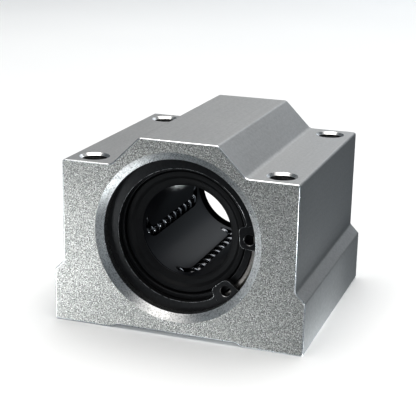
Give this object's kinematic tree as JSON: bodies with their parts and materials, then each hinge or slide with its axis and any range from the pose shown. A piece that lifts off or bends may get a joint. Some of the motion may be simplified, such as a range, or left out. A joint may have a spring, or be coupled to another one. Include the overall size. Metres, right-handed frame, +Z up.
{
  "type": "linear ball bushing",
  "caption": "Closed linear ball bushing held by snap rings in the bore of an extruded aluminium pillow-block housing with flat feet and bolt-down shoulders.",
  "frame": {"origin": "middle of the housing's underside, in the plane of the two feet", "axes": "+X across the housing's width, +Y along the bore axis from the front end face to the rear one, +Z up from the feet to the top of the housing; the bore axis is 21 mm above the origin"},
  "size_m": [0.054, 0.05, 0.041],
  "materials": {
    "housing": "sandblasted end faces, smooth drawn sides",
    "sleeve": "ground bearing steel",
    "retainer": "moulded black plastic, soft gloss",
    "balls": "polished bearing steel",
    "end_rings": "black oxide steel",
    "seals": "black rubber, satin",
    "snap_rings": "black phosphated spring steel"
  },
  "bodies": {
    "housing_unit": {"housing_block": "housing", "bearing_sleeve": "sleeve", "ball_retainer": "retainer", "front_end_ring": "end_rings", "front_seal": "seals", "front_snap_ring": "snap_rings", "rear_end_ring": "end_rings", "rear_seal": "seals", "rear_snap_ring": "snap_rings"},
    "row_1_loaded": {"row_1_ball_1": "balls", "row_1_ball_2": "balls", "row_1_ball_3": "balls", "row_1_ball_4": "balls", "row_1_ball_5": "balls", "row_1_ball_6": "balls", "row_1_ball_7": "balls"},
    "row_1_return": {"row_1_return_balls": "balls"},
    "row_1_rear_turn": {"row_1_rear_turn_balls": "balls"},
    "row_1_front_turn": {"row_1_front_turn_balls": "balls"},
    "row_2_loaded": {"row_2_ball_1": "balls", "row_2_ball_2": "balls", "row_2_ball_3": "balls", "row_2_ball_4": "balls", "row_2_ball_5": "balls", "row_2_ball_6": "balls", "row_2_ball_7": "balls"},
    "row_2_return": {"row_2_return_balls": "balls"},
    "row_2_rear_turn": {"row_2_rear_turn_balls": "balls"},
    "row_2_front_turn": {"row_2_front_turn_balls": "balls"},
    "row_3_loaded": {"row_3_ball_1": "balls", "row_3_ball_2": "balls", "row_3_ball_3": "balls", "row_3_ball_4": "balls", "row_3_ball_5": "balls", "row_3_ball_6": "balls", "row_3_ball_7": "balls"},
    "row_3_return": {"row_3_return_balls": "balls"},
    "row_3_rear_turn": {"row_3_rear_turn_balls": "balls"},
    "row_3_front_turn": {"row_3_front_turn_balls": "balls"},
    "row_4_loaded": {"row_4_ball_1": "balls", "row_4_ball_2": "balls", "row_4_ball_3": "balls", "row_4_ball_4": "balls", "row_4_ball_5": "balls", "row_4_ball_6": "balls", "row_4_ball_7": "balls"},
    "row_4_return": {"row_4_return_balls": "balls"},
    "row_4_rear_turn": {"row_4_rear_turn_balls": "balls"},
    "row_4_front_turn": {"row_4_front_turn_balls": "balls"},
    "row_5_loaded": {"row_5_ball_1": "balls", "row_5_ball_2": "balls", "row_5_ball_3": "balls", "row_5_ball_4": "balls", "row_5_ball_5": "balls", "row_5_ball_6": "balls", "row_5_ball_7": "balls"},
    "row_5_return": {"row_5_return_balls": "balls"},
    "row_5_rear_turn": {"row_5_rear_turn_balls": "balls"},
    "row_5_front_turn": {"row_5_front_turn_balls": "balls"}
  },
  "joints": [
    {"name": "row_1_travel", "type": "slide", "parent": "housing_unit", "child": "row_1_loaded", "axis": [0, 1, 0], "range_m": [-0.00165, 0.00165]},
    {"name": "row_1_return_travel", "type": "slide", "parent": "housing_unit", "child": "row_1_return", "axis": [0, 1, 0], "range_m": [-0.00165, 0.00165]},
    {"name": "row_1_rear_turn_swing", "type": "hinge", "parent": "housing_unit", "child": "row_1_rear_turn", "pos_m": [-0.00329, 0.01155, 0.00966], "axis": [-0.0747, 0, -0.9972], "range_deg": [-28.65, 28.65]},
    {"name": "row_1_front_turn_swing", "type": "hinge", "parent": "housing_unit", "child": "row_1_front_turn", "pos_m": [-0.00329, -0.01155, 0.00966], "axis": [-0.0747, 0, -0.9972], "range_deg": [-28.65, 28.65]},
    {"name": "row_2_travel", "type": "slide", "parent": "housing_unit", "child": "row_2_loaded", "axis": [0, 1, 0], "range_m": [-0.00165, 0.00165]},
    {"name": "row_2_return_travel", "type": "slide", "parent": "housing_unit", "child": "row_2_return", "axis": [0, 1, 0], "range_m": [-0.00165, 0.00165]},
    {"name": "row_2_rear_turn_swing", "type": "hinge", "parent": "housing_unit", "child": "row_2_rear_turn", "pos_m": [0.00977, 0.01155, 0.01437], "axis": [0.9253, 0, -0.3792], "range_deg": [-28.65, 28.65]},
    {"name": "row_2_front_turn_swing", "type": "hinge", "parent": "housing_unit", "child": "row_2_front_turn", "pos_m": [0.00977, -0.01155, 0.01437], "axis": [0.9253, 0, -0.3792], "range_deg": [-28.65, 28.65]},
    {"name": "row_3_travel", "type": "slide", "parent": "housing_unit", "child": "row_3_loaded", "axis": [0, 1, 0], "range_m": [-0.00165, 0.00165]},
    {"name": "row_3_return_travel", "type": "slide", "parent": "housing_unit", "child": "row_3_return", "axis": [0, 1, 0], "range_m": [-0.00165, 0.00165]},
    {"name": "row_3_rear_turn_swing", "type": "hinge", "parent": "housing_unit", "child": "row_3_rear_turn", "pos_m": [0.00933, 0.01155, 0.02824], "axis": [0.6465, 0, 0.7629], "range_deg": [-28.65, 28.65]},
    {"name": "row_3_front_turn_swing", "type": "hinge", "parent": "housing_unit", "child": "row_3_front_turn", "pos_m": [0.00933, -0.01155, 0.02824], "axis": [0.6465, 0, 0.7629], "range_deg": [-28.65, 28.65]},
    {"name": "row_4_travel", "type": "slide", "parent": "housing_unit", "child": "row_4_loaded", "axis": [0, 1, 0], "range_m": [-0.00165, 0.00165]},
    {"name": "row_4_return_travel", "type": "slide", "parent": "housing_unit", "child": "row_4_return", "axis": [0, 1, 0], "range_m": [-0.00165, 0.00165]},
    {"name": "row_4_rear_turn_swing", "type": "hinge", "parent": "housing_unit", "child": "row_4_rear_turn", "pos_m": [-0.004, 0.01155, 0.03211], "axis": [-0.5257, 0, 0.8506], "range_deg": [-28.65, 28.65]},
    {"name": "row_4_front_turn_swing", "type": "hinge", "parent": "housing_unit", "child": "row_4_front_turn", "pos_m": [-0.004, -0.01155, 0.03211], "axis": [-0.5257, 0, 0.8506], "range_deg": [-28.65, 28.65]},
    {"name": "row_5_travel", "type": "slide", "parent": "housing_unit", "child": "row_5_loaded", "axis": [0, 1, 0], "range_m": [-0.00165, 0.00165]},
    {"name": "row_5_return_travel", "type": "slide", "parent": "housing_unit", "child": "row_5_return", "axis": [0, 1, 0], "range_m": [-0.00165, 0.00165]},
    {"name": "row_5_rear_turn_swing", "type": "hinge", "parent": "housing_unit", "child": "row_5_rear_turn", "pos_m": [-0.0118, 0.01155, 0.02063], "axis": [-0.9715, 0, -0.2371], "range_deg": [-28.65, 28.65]},
    {"name": "row_5_front_turn_swing", "type": "hinge", "parent": "housing_unit", "child": "row_5_front_turn", "pos_m": [-0.0118, -0.01155, 0.02063], "axis": [-0.9715, 0, -0.2371], "range_deg": [-28.65, 28.65]}
  ],
  "couplings": [
    {"joint": "row_1_return_travel", "follows": "row_1_travel", "ratio": -1},
    {"joint": "row_1_rear_turn_swing", "follows": "row_1_travel", "rad_per_m": -303.03},
    {"joint": "row_1_front_turn_swing", "follows": "row_1_travel", "rad_per_m": -303.03},
    {"joint": "row_2_return_travel", "follows": "row_2_travel", "ratio": -1},
    {"joint": "row_2_rear_turn_swing", "follows": "row_2_travel", "rad_per_m": -303.03},
    {"joint": "row_2_front_turn_swing", "follows": "row_2_travel", "rad_per_m": -303.03},
    {"joint": "row_3_return_travel", "follows": "row_3_travel", "ratio": -1},
    {"joint": "row_3_rear_turn_swing", "follows": "row_3_travel", "rad_per_m": -303.03},
    {"joint": "row_3_front_turn_swing", "follows": "row_3_travel", "rad_per_m": -303.03},
    {"joint": "row_4_return_travel", "follows": "row_4_travel", "ratio": -1},
    {"joint": "row_4_rear_turn_swing", "follows": "row_4_travel", "rad_per_m": -303.03},
    {"joint": "row_4_front_turn_swing", "follows": "row_4_travel", "rad_per_m": -303.03},
    {"joint": "row_5_return_travel", "follows": "row_5_travel", "ratio": -1},
    {"joint": "row_5_rear_turn_swing", "follows": "row_5_travel", "rad_per_m": -303.03},
    {"joint": "row_5_front_turn_swing", "follows": "row_5_travel", "rad_per_m": -303.03}
  ]
}
